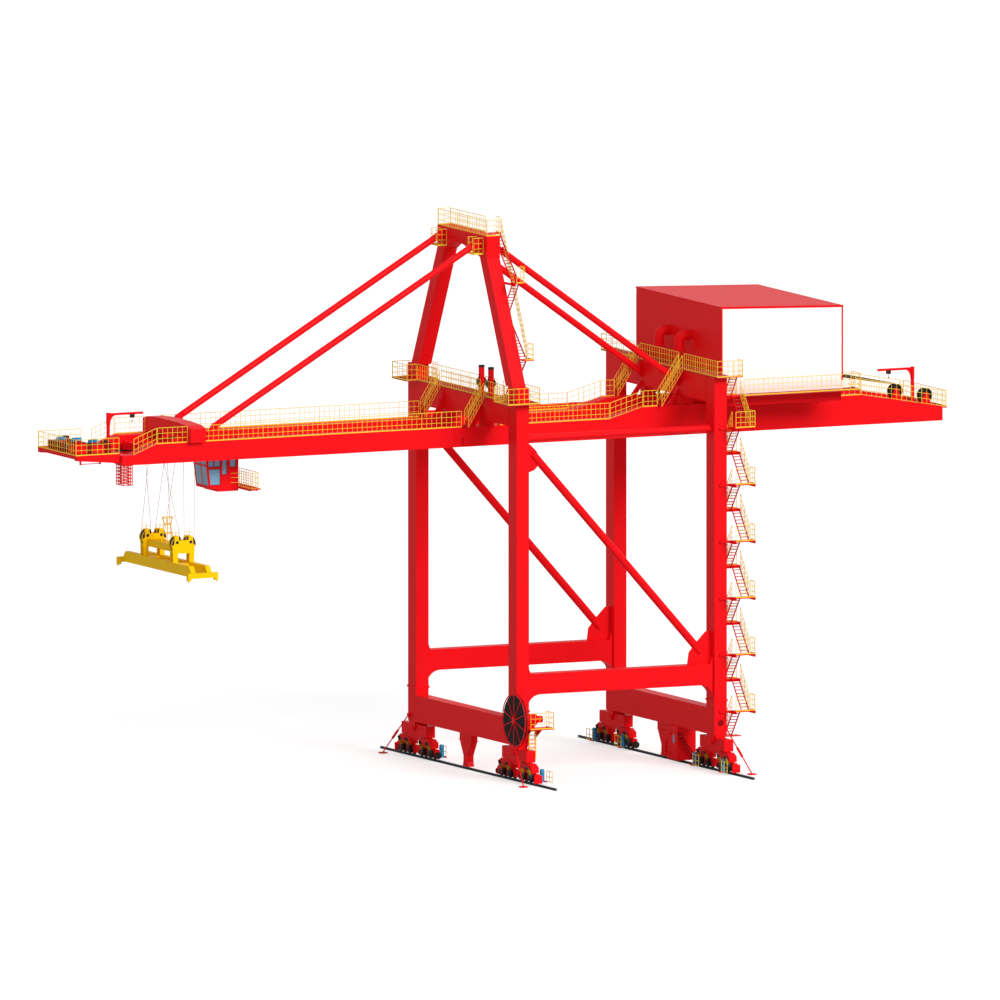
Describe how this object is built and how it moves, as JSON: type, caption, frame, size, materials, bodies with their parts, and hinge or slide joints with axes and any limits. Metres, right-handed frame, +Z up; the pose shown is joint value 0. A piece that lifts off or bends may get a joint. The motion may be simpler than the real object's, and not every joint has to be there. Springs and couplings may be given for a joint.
{
  "type": "ship to shore container crane, scale model 1:2",
  "caption": "Red quay crane on rails with a stayed boom, pylon, machinery house, hung trolley and cab, hoist ropes with a yellow spreader, cable reel, stairs and galleries.",
  "frame": {"origin": "under the waterside rail, midway along it, at ground level", "axes": "+X landward across the quay along boom and girders, +Y along the quay away from the viewer, +Z up"},
  "size_m": [35.13, 14.9, 20.42],
  "materials": {
    "red_paint": "satin",
    "dark_red_paint": "satin",
    "yellow_paint": "satin",
    "spreader_paint": "satin",
    "white_paint": "satin",
    "olive_paint": "satin",
    "blue_paint": "satin",
    "black_steel": "satin",
    "rail_steel": "worn",
    "wire_rope": "oiled",
    "cable_rubber": "matte",
    "cab_glass": "clear"
  },
  "bodies": {
    "crane": {"rails": "rail_steel", "gantry_wheels": "black_steel", "bogie_frames": "red_paint", "gantry_drives": "olive_paint", "equalizers": "red_paint", "sill_beams": "red_paint", "anchor_posts": "red_paint", "storm_ties": "red_paint", "rail_clamps": "blue_paint", "legs": "red_paint", "portal_beams": "red_paint", "tie_tubes": "red_paint", "braces": "red_paint", "cross_beam_waterside": "red_paint", "cross_beam_landside": "red_paint", "boom_girders": "red_paint", "main_girders": "red_paint", "girder_ties": "red_paint", "boom_hinges": "red_paint", "trolley_rails": "rail_steel", "pylon_legs": "red_paint", "apex_beam": "red_paint", "forestays": "red_paint", "backstays": "red_paint", "house_floor": "red_paint", "house_end_walls": "red_paint", "house_side_walls": "white_paint", "house_roof": "red_paint", "vent_cowls": "red_paint", "tip_platform": "red_paint", "tip_machinery": "dark_red_paint", "tip_cage": "red_paint", "sheave_stands": "red_paint", "rear_sheaves": "black_steel", "jib_posts": "red_paint", "galleries": "dark_red_paint", "stair_landings": "red_paint", "stair_stringers": "red_paint", "stair_treads": "dark_red_paint", "girder_handrails": "yellow_paint", "gallery_handrails": "yellow_paint", "stair_handrails": "yellow_paint", "reel_drive": "red_paint", "ground_cabin": "red_paint"},
    "trolley": {"trolley_frame": "red_paint", "trolley_sheaves": "black_steel", "cab_shell": "red_paint", "cab_glass": "cab_glass", "cab_deck": "red_paint", "hoist_ropes": "wire_rope"},
    "hoist": {"headblock": "spreader_paint", "headblock_sheaves": "black_steel", "spreader": "spreader_paint"},
    "reel": {"reel_frame": "red_paint", "reel_cable": "cable_rubber"},
    "tip_jib": {"tip_jib": "red_paint"},
    "rear_jib": {"rear_jib": "red_paint"},
    "cabin_door": {"cabin_door": "red_paint"}
  },
  "joints": [
    {"name": "trolley_travel", "type": "slide", "parent": "crane", "child": "trolley", "axis": [1, 0, 0], "range_m": [-0.9, 25]},
    {"name": "hoist", "type": "slide", "parent": "trolley", "child": "hoist", "axis": [0, 0, 1], "range_m": [-7.6, 1.75], "deforming": ["hoist_ropes"]},
    {"name": "cable_reel", "type": "hinge", "parent": "crane", "child": "reel", "pos_m": [-0.45, -4.9, 2.34], "axis": [1, 0, 0], "continuous": true},
    {"name": "tip_jib_slew", "type": "hinge", "parent": "crane", "child": "tip_jib", "pos_m": [-14.57, 0, 13.4], "axis": [0, 0, 1], "range_deg": [-135, 135]},
    {"name": "rear_jib_slew", "type": "hinge", "parent": "crane", "child": "rear_jib", "pos_m": [17.95, 0, 13.46], "axis": [0, 0, 1], "range_deg": [-135, 135]},
    {"name": "cabin_door_swing", "type": "hinge", "parent": "crane", "child": "cabin_door", "pos_m": [7.636, -1.08, 0.6], "axis": [0, 0, -1], "range_deg": [0, 100]}
  ]
}
